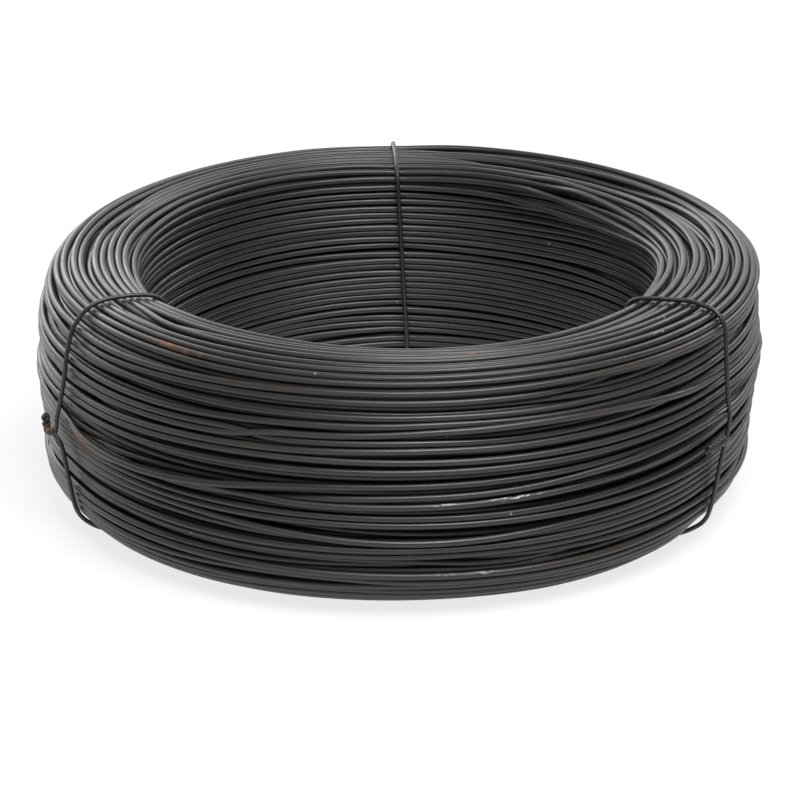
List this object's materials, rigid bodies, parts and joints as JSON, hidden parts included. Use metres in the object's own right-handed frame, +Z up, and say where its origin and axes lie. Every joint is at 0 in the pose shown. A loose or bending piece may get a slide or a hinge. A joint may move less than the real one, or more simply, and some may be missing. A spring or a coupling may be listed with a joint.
{
  "type": "coil of annealed wire",
  "caption": "Flat-lying coil of black annealed steel wire, wound into a thick ring with an open bore and bound around its section with twisted wire ties.",
  "frame": {"origin": "on the coil's axis, at the floor that it lies on", "axes": "+Z up along the coil's axis, -Y towards the viewer of the picture, +X to the viewer's right"},
  "size_m": [0.325, 0.3292, 0.1114],
  "materials": {
    "black_annealed_wire": "dark grey-brown annealing scale, satin, with light rust and handling scuffs",
    "tie_wire": "black annealing scale, satin, rusty at one knot"
  },
  "bodies": {
    "root": {"coil": "black_annealed_wire", "tie_back": "tie_wire", "tie_left": "tie_wire", "tie_right": "tie_wire"}
  },
  "joints": []
}
